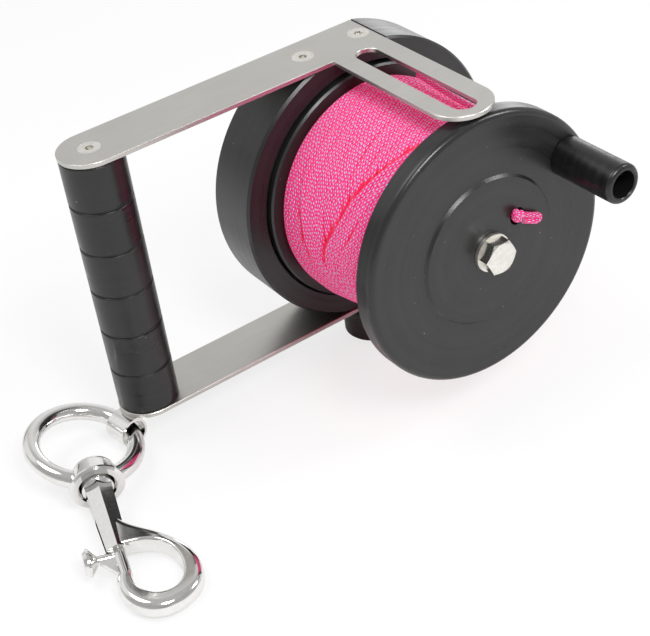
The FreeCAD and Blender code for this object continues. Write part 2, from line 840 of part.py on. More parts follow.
def snap_body():
    """Swivel pin, collar, six-sided barrel and hook, cast as one piece."""
    shoulder = boss_outer - boss_recess_depth + face_gap
    collar_top = shoulder + collar_height
    stem_start = collar_top + 1.2
    head = -boss_inner
    turned_part = turned([
        (0, head - 0.3), (rivet_radius - 0.8, head - 0.3), (rivet_radius, head + 0.3),
        (rivet_radius, head + rivet_height), (pin_radius, head + rivet_height),
        (pin_radius, shoulder), (collar_radius, shoulder), (collar_radius, shoulder + 1.4),
        (neck_radius + 0.9, collar_top), (neck_radius, stem_start), (0, stem_start),
    ], point(0, 0, 0), X)
    stem = Part.makeLoft([
        hexagon_wire(stem_start_flats, collar_top - 0.4), hexagon_wire(stem_end_flats, barrel_end),
    ], True, True)
    body = turned_part.fuse(stem).fuse(hook())
    bore_start = barrel_end - barrel_bore_depth()
    bore = rod(gate_radius + running_gap, point(bore_start, 0, 0), X, barrel_end - bore_start + 2)
    body = body.cut(bore)
    slot_width = 2 * (stud_radius + 0.15)
    slot = Part.makeBox(barrel_end - gate_slot_start + 2, stem_start_flats, slot_width,
                        point(gate_slot_start, -stem_start_flats, -slot_width / 2))
    return placed(body.cut(slot), snap_placement())


def gate_ends():
    """Where the gate's bolt starts and stops, along the snap."""
    stop = barrel_end + hook_opening - gate_gap
    return stop - gate_length, stop


def spring_length():
    """The spring's length with the gate shut, which leaves room for its turns when open."""
    return gate_travel + 2 * spring_wire_radius * (spring_turns + 1)


def barrel_bore_depth():
    start, _ = gate_ends()
    return barrel_end - start + spring_length() + 2 * spring_gap


def snap_gate():
    """The sliding bolt that shuts the hook, with its thumb stud."""
    start, stop = gate_ends()
    bolt = turned([
        (0, start), (gate_radius - 0.3, start), (gate_radius, start + 0.3),
        (gate_radius, stop - 0.6), (gate_radius - 0.6, stop), (0, stop),
    ], point(0, 0, 0), X)
    stud = point(barrel_end + stud_ahead, 0, 0)
    stalk = rod(stud_radius, stud, Y * -1, stud_reach + 0.5)
    top = stud_reach + thumb_height
    thumb = turned([
        (0, -stud_reach + 1.0), (stud_radius, -stud_reach + 1.0),
        (thumb_radius, -top + thumb_rim + 1.3), (thumb_radius + 0.1, -top + 1.3),
        (thumb_radius - thumb_rim, -top), (0, -top + 0.6),
    ], stud, Y)
    foot, height = stud.x + stud_radius + stud_web_length, stud_reach - 1.5
    web = Part.Face(Part.makePolygon([
        point(stud.x, -gate_radius / 2, 0), point(foot, -gate_radius / 2, 0),
        point(foot, -gate_radius, 0), point(stud.x + stud_radius, -height, 0),
        point(stud.x, -height, 0), point(stud.x, -gate_radius / 2, 0),
    ])).extrude(Z * stud_web_thickness)
    web.translate(Z * (-stud_web_thickness / 2))
    return placed(bolt.fuse(stalk).fuse(thumb).fuse(web), snap_placement())


def gate_spring():
    """The spring behind the gate, a helix inside the barrel."""
    start, _ = gate_ends()
    clear = spring_gap + spring_wire_radius
    end = start - clear
    begin = end - spring_length() + 2 * spring_wire_radius
    coil_radius = min(spring_radius, gate_radius - spring_wire_radius - 0.15)

    def route(turns):
        angle = 2 * math.pi * turns
        along = begin + (end - begin) * turns / spring_turns
        return point(along, coil_radius * math.cos(angle), coil_radius * math.sin(angle))

    print("spring gap", round(least_gap(route, spring_turns, spring_wire_radius), 2))
    coil = wound_tube(route, spring_turns, spring_wire_radius, 4, 6)
    return placed(coil, snap_placement())


def screws(up):
    """The two countersunk screws that hold a plate to the housing."""
    face = up * (seat_z + plate_thickness)
    return Part.makeCompound([
        countersunk_screw(x, plate_y, face, up, screw_length) for x in housing_screw_x
    ])


def grip_screw_bottom():
    """A button-head screw that holds the clip, the lower plate and the grip together."""
    under = -seat_z - plate_thickness - 2 * clip_strap
    start = point(grip_x, plate_y, under)
    head = turned([
        (0, 0), (screw_head_radius, 0), (screw_head_radius, -0.8),
        (screw_head_radius * 0.6, -2.4), (0, -2.4),
    ], start, Z)
    screw = head.fuse(rod(screw_radius, start, Z, grip_screw_length))
    foot = start - Z * 2.4
    return screw.cut(hexagon_bar(2 * drive_radius * 0.8, foot, Z, drive_depth))


def save(name, shape):
    shape.exportStep("parts/" + name + ".step")
    print(name, "solids", len(shape.Solids), "valid", shape.isValid(), "volume",
          round(shape.Volume, 1))


def build():
    os.makedirs("parts", exist_ok=True)
    face = seat_z + plate_thickness
    save("top_plate", top_plate())
    save("bottom_plate", bottom_plate())
    save("hand_grip", hand_grip())
    save("grip_screw_top", countersunk_screw(grip_x, plate_y, face, 1, grip_screw_length))
    save("grip_screw_bottom", grip_screw_bottom())
    save("housing", housing())
    save("housing_screws_top", screws(1))
    save("housing_screws_bottom", screws(-1))
    save("axle_bolt", axle_bolt())
    save("axle_washer_front", flat_ring(washer_radius, axle_radius + seat_gap,
                                        point(0, head_back, 0), Y, washer_thickness))
    save("axle_washer_rear", flat_ring(washer_radius, axle_radius + seat_gap,
                                       point(0, -nut_pocket_depth, 0), Y, washer_thickness))
    save("axle_nut", axle_nut())
    save("thrust_washer", flat_ring(thrust_washer_radius, axle_radius + seat_gap,
                                    point(0, recess_floor - thrust_washer_thickness, 0), Y,
                                    thrust_washer_thickness))
    save("spool", spool())
    save("line_core", line_core())
    print("line gap", round(least_gap(line_route, line_turns, line_radius), 2))
    save("line_winding", line_winding())
    save("line_tail", line_tail())
    save("line_knot", line_knot())
    save("crank_knob", crank_knob())
    save("crank_screw", crank_screw())
    save("lock_knob", lock_knob())
    save("lock_screw", lock_screw())
    save("lock_pad", lock_pad())
    save("snap_clip", snap_clip())
    save("swivel_ring", swivel_ring())
    save("snap_body", snap_body())
    save("snap_gate", snap_gate())
    save("gate_spring", gate_spring())


build()
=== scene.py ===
"""The dive reel as it is seen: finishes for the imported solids, the wound line, and a studio.

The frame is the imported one, in metres: +X from the grip to the spool, +Y out of the housing's
flat rear face, +Z up along the grip. The spool turns round the Y axis. The sizes of the line,
its knot and the gate's spring are in mm, and a place round the spool is in degrees from the top
towards the grip.
"""

import logging
import math
from dataclasses import dataclass, field, replace
from enum import Enum

import bmesh
import bpy
from mathutils import Matrix, Vector


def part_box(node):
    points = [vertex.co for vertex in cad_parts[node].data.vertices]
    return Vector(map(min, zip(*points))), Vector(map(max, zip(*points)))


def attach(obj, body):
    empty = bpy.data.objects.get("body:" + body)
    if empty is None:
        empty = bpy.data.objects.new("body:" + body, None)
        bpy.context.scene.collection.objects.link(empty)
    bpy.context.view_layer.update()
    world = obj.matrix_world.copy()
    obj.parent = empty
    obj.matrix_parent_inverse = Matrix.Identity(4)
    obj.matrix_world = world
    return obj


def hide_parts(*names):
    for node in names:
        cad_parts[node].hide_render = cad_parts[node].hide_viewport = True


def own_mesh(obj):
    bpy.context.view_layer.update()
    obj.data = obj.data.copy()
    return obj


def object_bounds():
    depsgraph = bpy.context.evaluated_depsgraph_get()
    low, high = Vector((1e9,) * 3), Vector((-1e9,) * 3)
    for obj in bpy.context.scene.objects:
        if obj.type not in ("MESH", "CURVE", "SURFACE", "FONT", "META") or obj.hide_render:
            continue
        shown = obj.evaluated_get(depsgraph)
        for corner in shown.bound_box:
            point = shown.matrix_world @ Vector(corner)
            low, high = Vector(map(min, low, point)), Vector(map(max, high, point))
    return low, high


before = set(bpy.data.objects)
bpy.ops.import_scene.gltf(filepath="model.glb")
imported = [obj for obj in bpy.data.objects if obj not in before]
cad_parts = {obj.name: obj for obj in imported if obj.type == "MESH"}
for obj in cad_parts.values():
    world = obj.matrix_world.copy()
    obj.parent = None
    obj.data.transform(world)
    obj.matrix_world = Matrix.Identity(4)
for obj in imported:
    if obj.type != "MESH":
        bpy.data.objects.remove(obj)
bpy.context.view_layer.update()
CAD_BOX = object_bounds()
MM = 0.001
MERGE_DISTANCE = 0.001 * MM
DEPTH = "depth"
log = logging.getLogger("dive_reel")

Triple = tuple[float, float, float]
Colour = Triple
Range = tuple[float, float]
Knots = tuple[tuple[float, float], ...]


def rgba(colour: Colour) -> tuple[float, float, float, float]:
    """Returns a linear colour with full opacity."""
    return (*colour, 1.0)


def closed_curve(knots: Knots, degrees: float) -> float:
    """Reads a smooth closed curve.

    Args:
        knots: Pairs of degrees, rising from 0, and value.
        degrees: Where the curve is read.

    Returns:
        The value there.
    """
    count = len(knots)
    degrees %= 360.0
    after = next((i for i, knot in enumerate(knots) if knot[0] > degrees), count)
    ring = [(knots[i % count][0] + 360.0 * (i // count), knots[i % count][1])
            for i in range(after - 2, after + 2)]
    (a0, y0), (a1, y1), (a2, y2), (a3, y3) = ring
    share = (degrees - a1) / (a2 - a1)
    start = (y2 - y0) / (a2 - a0) * (a2 - a1)
    end = (y3 - y1) / (a3 - a1) * (a2 - a1)
    return ((2 * share**3 - 3 * share**2 + 1) * y1 + (share**3 - 2 * share**2 + share) * start
            + (3 * share**2 - 2 * share**3) * y2 + (share**3 - share**2) * end)


def on_spool(radius: float, degrees: float, y: float) -> Vector:
    """Returns the point, in metres, at a radius in mm, a place round the spool and a y in mm."""
    angle = math.radians(degrees)
    return Vector((-radius * math.sin(angle), y, radius * math.cos(angle))) * MM


def length_of(points: list[Vector]) -> float:
    """Returns the length of a line of points."""
    return sum((after - before).length for before, after in zip(points, points[1:]))


def add_object(name: str, data: bpy.types.ID) -> bpy.types.Object:
    """Makes an object of the scene.

    Args:
        name: The object's name.
        data: The mesh, curve, lamp or camera that it holds.

    Returns:
        The new object.
    """
    made = bpy.data.objects.new(name, data)
    bpy.context.scene.collection.objects.link(made)
    return made


def add_shape(name: str, shape: bmesh.types.BMesh) -> bpy.types.Object:
    """Makes an object of the scene from a bmesh.

    Args:
        name: The name of the object and of its mesh.
        shape: The shape in metres, which is freed.

    Returns:
        The new object.
    """
    mesh = bpy.data.meshes.new(name)
    shape.to_mesh(mesh)
    shape.free()
    return add_object(name, mesh)


class Nodes:
    """A tree of shader nodes, with short calls for those that finishes and studio are made of."""

    def __init__(self, tree: bpy.types.NodeTree) -> None:
        """Takes the tree that the calls add to."""
        self.tree = tree

    def feed(self, node: bpy.types.Node, name: str | int, value: object) -> None:
        """Sets a node's input, or links it where the value is another node's output.

        Args:
            node: The node that takes the value.
            name: The input's name or number.
            value: A number, a tuple or an output socket.
        """
        if isinstance(value, bpy.types.NodeSocket):
            self.tree.links.new(value, node.inputs[name])
        else:
            node.inputs[name].default_value = value

    def add(self, kind: str, inputs: dict[str | int, object],
            **settings: object) -> bpy.types.Node:
        """Adds a node.

        Args:
            kind: The node's type without its ShaderNode prefix.
            inputs: Values or sockets by input name or number.
            **settings: The node's own settings.

        Returns:
            The new node.
        """
        node = self.tree.nodes.new("ShaderNode" + kind)
        for name, value in settings.items():
            setattr(node, name, value)
        for name, value in inputs.items():
            self.feed(node, name, value)
        return node

    def math(self, operation: str, first: object, second: object = 0.0) -> bpy.types.NodeSocket:
        """Returns the output of a Math node on one or two values."""
        return self.add("Math", {0: first, 1: second}, operation=operation).outputs[0]

    def vector(self, operation: str, first: object, second: object = (0, 0, 0),
               output: str = "Vector") -> bpy.types.NodeSocket:
        """Returns an output of a Vector Math node."""
        node = self.add("VectorMath", {0: first, 1: second}, operation=operation)
        return node.outputs[output]

    def length(self, vector: object) -> bpy.types.NodeSocket:
        """Returns a vector's length."""
        return self.vector("LENGTH", vector, output="Value")

    def dot(self, first: object, second: object) -> bpy.types.NodeSocket:
        """Returns the dot product of two vectors."""
        return self.vector("DOT_PRODUCT", first, second, output="Value")

    def combine(self, x: object, y: object, z: object = 0.0) -> bpy.types.NodeSocket:
        """Returns a vector made of three values."""
        return self.add("CombineXYZ", {0: x, 1: y, 2: z}).outputs[0]

    def noise(self, vector: object, scale: float, detail: float = 2.0,
              dimensions: str = "3D") -> bpy.types.NodeSocket:
        """Returns a noise between 0 and 1.

        Args:
            vector: Where the noise is read.
            scale: Its waves per unit.
            detail: Its octaves.
            dimensions: "2D" or "3D".

        Returns:
            The noise's value.
        """
        node = self.add("TexNoise", {"Vector": vector, "Scale": scale, "Detail": detail},
                        noise_dimensions=dimensions)
        return node.outputs[0]

    def span(self, value: object, given: Range, wanted: Range = (0.0, 1.0)
             ) -> bpy.types.NodeSocket:
        """Returns a value moved from the given range to the wanted one, and held inside it."""
        node = self.add("MapRange", {"Value": value, "From Min": given[0], "From Max": given[1],
                                     "To Min": wanted[0], "To Max": wanted[1]})
        return node.outputs[0]

    def mix(self, share: object, first: object, second: object) -> bpy.types.NodeSocket:
        """Returns a colour between two colours."""
        node = self.add("Mix", {0: share, 6: first, 7: second}, data_type="RGBA")
        return node.outputs[2]

    def ray(self) -> tuple[bpy.types.NodeSocket, bpy.types.NodeSocket]:
        """Tells rays apart, so that a white can be shown to some of them.

        Returns:
            Whether the ray comes from the camera, and whether from gloss or glass, as 0 or 1.
        """
        path = self.add("LightPath", {})
        mirrored = self.math("MAXIMUM", path.outputs["Is Glossy Ray"],
                             path.outputs["Is Transmission Ray"])
        return path.outputs["Is Camera Ray"], mirrored


class Shader(Nodes):
    """A material's nodes, with one Principled surface."""

    def __init__(self, name: str) -> None:
        """Starts the material."""
        self.material = bpy.data.materials.new(name)
        self.material.use_nodes = True
        super().__init__(self.material.node_tree)
        self.surface = next(n for n in self.tree.nodes if n.type == "BSDF_PRINCIPLED")

    def dress(self, **inputs: object) -> None:
        """Sets inputs of the Principled surface; an underscore in a name stands for a space."""
        for name, value in inputs.items():
            self.feed(self.surface, name.replace("_", " "), value)

    def place(self, centre: Vector = Vector()) -> bpy.types.NodeSocket:
        """Returns the point on the object, counted from a centre."""
        point = self.add("TexCoord", {}).outputs["Object"]
        return self.add("Mapping", {"Vector": point, "Location": tuple(-centre)}).outputs[0]

    def bump(self, height: object, depth: float, strength: float = 1.0,
             under: bpy.types.NodeSocket | None = None) -> bpy.types.NodeSocket:
        """Returns a surface direction bent by a height.

        Args:
            height: The height, in parts of the depth.
            depth: The depth in metres.
            strength: How far the bend counts.
            under: The direction that is bent, if it isn't the plain one.

        Returns:
            The new direction.
        """
        inputs = {"Height": height, "Distance": depth, "Strength": strength}
        if under is not None:
            inputs["Normal"] = under
        return self.add("Bump", inputs).outputs[0]


class Spin(Enum):
    """The line that a turned piece was spun round on the lathe."""

    ALONG_Y = (0.0, 1.0, 0.0)
    ALONG_Z = (0.0, 0.0, 1.0)

    @property
    def across(self) -> tuple[float, ...]:
        """The part of a vector that counts towards the distance from the line."""
        return tuple(1.0 - part for part in self.value)


@dataclass(frozen=True)
class TurnedAcetal:
    """Black acetal off the lathe: rings round its axis, a soft gloss, specks and rubbed marks."""

    name: str
    spin: Spin
    centre: Vector
    base: Colour = (0.012, 0.012, 0.0125)
    rubbed: Colour = (0.019, 0.019, 0.0195)
    rubbed_range: Range = (0.8, 1.25)
    haze_scale: float = 45.0
    haze_octaves: float = 3.0
    roughness: float = 0.31
    roughness_spread: Range = (-0.05, 0.07)
    roughness_range: Range = (0.7, 1.35)
    fine_pitch: float = 0.28 * MM
    broad_pitch: float = 2.6 * MM
    ring_depth: float = 0.012 * MM
    ring_strength: float = 0.6
    speck: Colour = (0.20, 0.20, 0.195)
    speck_scale: float = 230.0
    speck_size: float = 0.07
    speck_patch_scale: float = 70.0
    speck_patch_range: Range = (0.43, 0.7)

    def specks(self, shader: Shader, place: bpy.types.NodeSocket) -> bpy.types.NodeSocket:
        """Strews pale specks, which lie in patches.

        Args:
            shader: The material's nodes.
            place: The point on the object.

        Returns:
            1 on a speck and 0 beside it.
        """
        patch = shader.noise(place, self.speck_patch_scale, 0.0)
        size = shader.span(patch, self.speck_patch_range, (0.0, self.speck_size))
        dust = shader.add("TexVoronoi", {"Vector": place, "Scale": self.speck_scale})
        return shader.math("LESS_THAN", dust.outputs["Distance"], size)

    def material(self) -> bpy.types.Material:
        """Makes the finish.

        Returns:
            The material.
        """
        shader = Shader(self.name)
        place = shader.place(self.centre)
        rings = shader.combine(shader.length(shader.vector("MULTIPLY", place, self.spin.across)),
                               shader.dot(place, self.spin.value))
        fine = shader.noise(rings, 1 / self.fine_pitch, 1.0, "2D")
        broad = shader.noise(rings, 1 / self.broad_pitch, 2.0, "2D")
        haze = shader.noise(place, self.haze_scale, self.haze_octaves)
        wear = shader.math("ADD", broad, haze)
        colour = shader.mix(shader.span(wear, self.rubbed_range), rgba(self.base),
                            rgba(self.rubbed))
        smooth, rough = self.roughness_spread
        shader.dress(
            Base_Color=shader.mix(self.specks(shader, place), colour, rgba(self.speck)),
            Roughness=shader.span(wear, self.roughness_range,
                                  (self.roughness + smooth, self.roughness + rough)),
            Normal=shader.bump(fine, self.ring_depth, self.ring_strength),
        )
        shader.surface.inputs["IOR"].default_value = 1.5
        return shader.material


@dataclass(frozen=True)
class Steel:
    """Stainless steel, from satin plate to polished casting, by its gloss, grain and waviness."""

    name: str
    base: Colour
    tarnish: Colour
    roughness: float
    roughness_spread: float
    grain: Triple
    grain_depth: float
    wave_scale: float
    wave_depth: float
    grain_share: float = 0.6
    cloud_scale: float = 60.0
    octaves: float = 3.0
    tarnish_range: Range = (0.35, 0.65)
    roughness_range: Range = (0.3, 0.7)

    def material(self) -> bpy.types.Material:
        """Makes the finish.

        Returns:
            The material.
        """
        shader = Shader(self.name)
        place = shader.place()
        grain = shader.noise(shader.vector("MULTIPLY", place, self.grain), 1.0, self.octaves)
        cloud = shader.noise(place, self.cloud_scale, self.octaves)
        wave = shader.noise(place, self.wave_scale, 1.0)
        both = shader.math("ADD", shader.math("MULTIPLY", grain, self.grain_share),
                           shader.math("MULTIPLY", cloud, 1.0 - self.grain_share))
        shader.dress(
            Base_Color=shader.mix(shader.span(both, self.tarnish_range), rgba(self.tarnish),
                                  rgba(self.base)),
            Metallic=1.0,
            Roughness=shader.span(both, self.roughness_range,
                                  (self.roughness - self.roughness_spread,
                                   self.roughness + self.roughness_spread)),
            Normal=shader.bump(grain, self.grain_depth, 1.0,
                               shader.bump(wave, self.wave_depth)),
        )
        return shader.material


@dataclass(frozen=True)
class Nylon:
    """Natural nylon, a little milky."""

    name: str = "natural_nylon"
    base: Colour = (0.72, 0.70, 0.64)
    cloud: Colour = (0.62, 0.60, 0.55)
    cloud_scale: float = 400.0
    cloud_depth: float = 0.02 * MM
    roughness: float = 0.45
    milkiness: float = 0.1

    def material(self) -> bpy.types.Material:
        """Makes the finish.

        Returns:
            The material.
        """
        shader = Shader(self.name)
        cloud = shader.noise(shader.place(), self.cloud_scale)
        shader.dress(Base_Color=shader.mix(cloud, rgba(self.base), rgba(self.cloud)),
                     Roughness=self.roughness, Subsurface_Weight=self.milkiness,
                     Normal=shader.bump(cloud, self.cloud_depth))
        return shader.material


@dataclass(frozen=True)
class BraidedLine:
    """Braid in a fluorescent dye: strands cross over and under, with light yarns among them.

    The pale flecks of the light yarns sit on the strands' crowns and are partly painted glints.
    Painted shade gives a deeper red to the gaps between the strands and to the crevices deep in
    the winding, and the dyed strands glow a little, a painted glow that stands in for
    fluorescence and lifts their shade. The ranges of height are parts of a strand's own, and the
    range of depth is in mm under the winding's outside.
    """

    name: str
    length: float
    stitch: float = 1.4 * MM
    carriers: int = 14
    slip_scale: float = 0.015
    slip_stitches: float = 11.0
    crown: Colour = (0.65, 0.006, 0.235)
    # gap: painted shade, a deeper red where the strands fall away between their crowns
    gap: Colour = (0.65, 0.0, 0.09)
    crown_range: Range = (0.25, 0.6)
    # crevice_shade: painted shade, a saturated red on turns that lie deep under the winding's
    # outside
    crevice_shade: Colour = (0.68, 0.0, 0.03)
    crevice_shade_range: Range = (0.45, 0.95)
    # fleck: pale flecks on the crowns of one family of strands, light yarn and painted glints
    fleck: Colour = (0.50, 0.76, 0.98)
    fleck_range: Range = (0.15, 0.5)
    fleck_chance: Range = (0.0, 0.3)
    fleck_share: Range = (0.75, 1.0)
    # glow: a painted glow of the dye, which stands in for fluorescence and lifts the line's shade
    glow: Colour = (1.0, 0.015, 0.14)
    painted_glow_strength: float = 0.35
    roughness: float = 0.55
    sheen: float = 0.08
    sheen_roughness: float = 0.4
    strand_depth: float = 0.14 * MM

    @staticmethod
    def round_height(shader: Shader, place: bpy.types.NodeSocket) -> bpy.types.NodeSocket:
        """Returns the round height of a strand from its edge, 0, to its middle, 1."""
        return shader.math("SINE", shader.math("MULTIPLY", shader.math("FRACT", place), math.pi))

    def weave(self, shader: Shader) -> tuple[bpy.types.NodeSocket, bpy.types.NodeSocket]:
        """Crosses the strands on the line's own map.

        Args:
            shader: The material's nodes.

        Returns:
            The height of the strand on top, and how far it is a light yarn that also stands in
            for a painted glint, from 0 to 1 each.
        """
        uv = shader.add("SeparateXYZ", {0: shader.add("UVMap", {}, uv_map="UVMap").outputs[0]})
        stitches = shader.math("MULTIPLY", uv.outputs[0], round(self.length / self.stitch))
        slip = shader.noise(shader.combine(stitches, 0.0), self.slip_scale, 1.0, "2D")
        along = shader.math("ADD", stitches, shader.math("MULTIPLY", slip, self.slip_stitches))
        round_it = shader.math("MULTIPLY", uv.outputs[1], float(self.carriers))
        right = shader.math("ADD", along, round_it)
        left = shader.math("SUBTRACT", along, round_it)
        right_cell, left_cell = shader.math("FLOOR", right), shader.math("FLOOR", left)
        over = shader.math("FLOORED_MODULO", shader.math("ADD", right_cell, left_cell), 2.0)
        height = shader.add("Mix", {0: over, 2: self.round_height(shader, right),
                                    3: self.round_height(shader, left)}).outputs[0]
        chance = shader.add("TexWhiteNoise", {"Vector": shader.combine(right_cell, left_cell)},
                            noise_dimensions="2D").outputs["Value"]
        # The dyed strands show no pale fleck; the flecks of the others are light yarn and painted
        # glints.
        dyed = shader.math("MAXIMUM", over, shader.math("FLOORED_MODULO", right_cell, 2.0))
        light_yarn_and_glint = shader.math("MULTIPLY", shader.math("SUBTRACT", 1.0, dyed),
                                 shader.span(chance, self.fleck_chance, self.fleck_share))
        return height, light_yarn_and_glint

    def material(self) -> bpy.types.Material:
        """Makes the finish, which follows the line's own map.

        Returns:
            The material.
        """
        shader = Shader(self.name)
        height, light_yarn_and_glint = self.weave(shader)
        # The dyed colour runs from painted shade in the gaps between the strands up to the crown.
        dyed = shader.mix(shader.span(height, self.crown_range), rgba(self.gap),
                          rgba(self.crown))
        # Pale flecks on the crowns only: light yarn and painted glints of the strands.
        yarn_and_glint_flecks = shader.math("MULTIPLY", light_yarn_and_glint, shader.span(height, self.fleck_range))
        yarn = shader.mix(yarn_and_glint_flecks, dyed, rgba(self.fleck))
        # Painted shade: the deeper a point lies under the winding's outside, the more it takes
        # the crevice colour.
        depth = shader.add("Attribute", {}, attribute_name=DEPTH).outputs["Fac"]
        sunk = shader.span(depth, self.crevice_shade_range)
        shader.dress(
            Base_Color=shader.mix(sunk, yarn, rgba(self.crevice_shade)),
            Roughness=self.roughness,
            Sheen_Weight=self.sheen,
            Sheen_Roughness=self.sheen_roughness,
            # Painted glow on the dyed strands, none on the pale flecks.
            Emission_Strength=self.painted_glow_strength,
            Emission_Color=shader.mix(yarn_and_glint_flecks, rgba(self.glow), rgba((0.0, 0.0, 0.0))),
            Normal=shader.bump(height, self.strand_depth),
        )
        return shader.material


@dataclass(frozen=True)
class DeepLine:
    """The dyed line deep in the winding, where only gaps between the turns show it."""

    name: str = "line_shadow"
    # base and crown: painted shade, a darker and redder copy of the braid's dye for line deep in
    # the winding
    base: Colour = (0.64, 0.0, 0.03)
    crown: Colour = (0.68, 0.01, 0.12)
    yarn_scale: float = 900.0
    # glow: a painted glow, which stands in for fluorescence and lifts the shade deep in the
    # winding
    glow: Colour = (1.0, 0.01, 0.08)
    painted_glow_strength: float = 0.30
    roughness: float = 0.8

    def material(self) -> bpy.types.Material:
        """Makes the finish.

        Returns:
            The material.
        """
        shader = Shader(self.name)
        yarn = shader.noise(shader.place(), self.yarn_scale)
        shader.dress(Base_Color=shader.mix(yarn, rgba(self.base), rgba(self.crown)),
                     Roughness=self.roughness, Emission_Strength=self.painted_glow_strength,
                     Emission_Color=rgba(self.glow))
        return shader.material


SATIN_PLATE = Steel("satin_plate_steel", base=(0.60, 0.585, 0.555), tarnish=(0.53, 0.52, 0.49),
                    roughness=0.36, roughness_spread=0.05, grain=(60.0, 2200.0, 2200.0),
                    grain_depth=0.004 * MM, wave_scale=90.0, wave_depth=0.02 * MM)
FASTENER = Steel("plain_fastener_steel", base=(0.82, 0.80, 0.76), tarnish=(0.66, 0.64, 0.59),
                 roughness=0.24, roughness_spread=0.06, grain=(450.0, 450.0, 450.0),
                 grain_depth=0.01 * MM, wave_scale=230.0, wave_depth=0.09 * MM)
PRESSED = replace(FASTENER, name="pressed_washer_steel", base=(0.86, 0.84, 0.80),
                  tarnish=(0.72, 0.70, 0.65), roughness=0.42, wave_depth=0.05 * MM)
POLISHED = Steel("polished_steel", base=(0.84, 0.835, 0.82), tarnish=(0.78, 0.77, 0.75),
                 roughness=0.09, roughness_spread=0.03, grain=(700.0, 700.0, 700.0),
                 grain_depth=0.001 * MM, wave_scale=110.0, wave_depth=0.05 * MM)


def paint(nodes: tuple[str, ...], material: bpy.types.Material) -> None:
    """Gives CAD nodes a finish.

    Args:
        nodes: The nodes' names.
        material: The finish.
    """
    for name in nodes:
        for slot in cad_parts[name].material_slots:
            slot.material = material
        log.info("%s: %s", name, material.name)


def centre_of(node: str) -> Vector:
    """Returns the middle of a CAD node."""
    low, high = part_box(node)
    return (low + high) / 2


@dataclass
class HandFrame:
    """The fixed frame: housing, two plates, grip and their fasteners."""

    grip_base: Colour = (0.008, 0.008, 0.0084)
    grip_rubbed: Colour = (0.013, 0.013, 0.0134)
    plates: tuple[str, ...] = ("top_plate", "bottom_plate")
    fasteners: tuple[str, ...] = (
        "grip_screw_top", "grip_screw_bottom", "housing_screws_top", "housing_screws_bottom",
        "axle_bolt", "axle_nut")
    washers: tuple[str, ...] = ("axle_washer_front", "axle_washer_rear")

    def dress(self) -> None:
        """Finishes every node of the frame but the snap's clip."""
        paint(("housing",), TurnedAcetal("housing_acetal", Spin.ALONG_Y, Vector()).material())
        grip = TurnedAcetal("grip_acetal", Spin.ALONG_Z, centre_of("hand_grip"),
                            base=self.grip_base, rubbed=self.grip_rubbed)
        paint(("hand_grip",), grip.material())
        paint(self.plates, SATIN_PLATE.material())
        paint(self.fasteners, FASTENER.material())
        paint(self.washers, PRESSED.material())
        paint(("thrust_washer",), Nylon().material())


@dataclass
class SpoolAndCrank:
    """The turned spool with its crank knob."""

    crank_base: Colour = (0.005, 0.005, 0.005)
    crank_rubbed: Colour = (0.009, 0.009, 0.009)

    def dress(self) -> None:
        """Finishes the spool, the crank knob and its screw."""
        paint(("spool",), TurnedAcetal("spool_acetal", Spin.ALONG_Y, Vector()).material())
        crank = TurnedAcetal("crank_acetal", Spin.ALONG_Y, centre_of("crank_knob"),
                             base=self.crank_base, rubbed=self.crank_rubbed)
        paint(("crank_knob",), crank.material())
        paint(("crank_screw",), FASTENER.material())


@dataclass
class Lock:
    """The knob that presses a pad on the spool."""

    def dress(self) -> None:
        """Finishes the lock's nodes."""
        knob = TurnedAcetal("lock_acetal", Spin.ALONG_Z, centre_of("lock_knob"))
        paint(("lock_knob",), knob.material())
        paint(("lock_screw",), FASTENER.material())
        paint(("lock_pad",), Nylon("pad_nylon").material())


@dataclass
class SnapHook:
    """The clip, swivel ring and sliding-gate snap.

    The spring runs from its front to its back, and the wire's middle keeps clear of both by the
    end radii, which count wire radii.
    """

    polished: tuple[str, ...] = ("snap_clip", "swivel_ring", "snap_body", "snap_gate")
    spring_front: Vector = field(default_factory=lambda: Vector((-164.896, -66.445, -67.358)))
    spring_back: Vector = field(default_factory=lambda: Vector((-159.716, -49.286, -65.768)))
    coils: int = 7
    coil_steps: int = 28
    coil_radius: float = 1.9
    wire_radius: float = 0.28
    wire_sides: int = 8
    end_radii: float = 1.2
    shortest: float = 0.27

    def dress(self) -> None:
        """Finishes the snap's nodes and winds the spring."""
        paint(self.polished, POLISHED.material())
        self.build_spring()

    def build_spring(self) -> None:
        """Winds the gate's spring, which the opening gate presses together in the barrel."""
        run = self.spring_back - self.spring_front
        axis = run.normalized()
        across = axis.cross(Vector((0.0, 0.0, 1.0))).normalized()
        end = self.end_radii * self.wire_radius
        steps = self.coils * self.coil_steps
        wire = bmesh.new()
        bmesh.ops.create_circle(
            wire, segments=self.wire_sides, radius=self.wire_radius,
            matrix=Matrix.Translation((self.coil_radius, 0, end)) @ Matrix.Rotation(
                math.pi / 2, 4, "X"))
        bmesh.ops.spin(wire, geom=wire.verts[:] + wire.edges[:], cent=(0, 0, 0), axis=(0, 0, 1),
                       dvec=(0, 0, (run.length - 2 * end) / steps), angle=math.tau * self.coils,
                       steps=steps)
        ends = [edge for edge in wire.edges if edge.is_boundary]
        bmesh.ops.holes_fill(wire, edges=ends, sides=self.wire_sides)
        bmesh.ops.recalc_face_normals(wire, faces=wire.faces)
        lean = Matrix((across, axis.cross(across), axis)).transposed().to_4x4()
        bmesh.ops.transform(
            wire, matrix=Matrix.Scale(MM, 4) @ Matrix.Translation(self.spring_front) @ lean,
            verts=wire.verts)
        piece = add_shape("wound_spring", wire)
        piece.data.shade_smooth()
        piece.data.materials.append(FASTENER.material())
        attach(piece, "snap")
        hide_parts("gate_spring")
        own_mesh(piece)
        log.info("wound_spring: shortened by gate_slide")


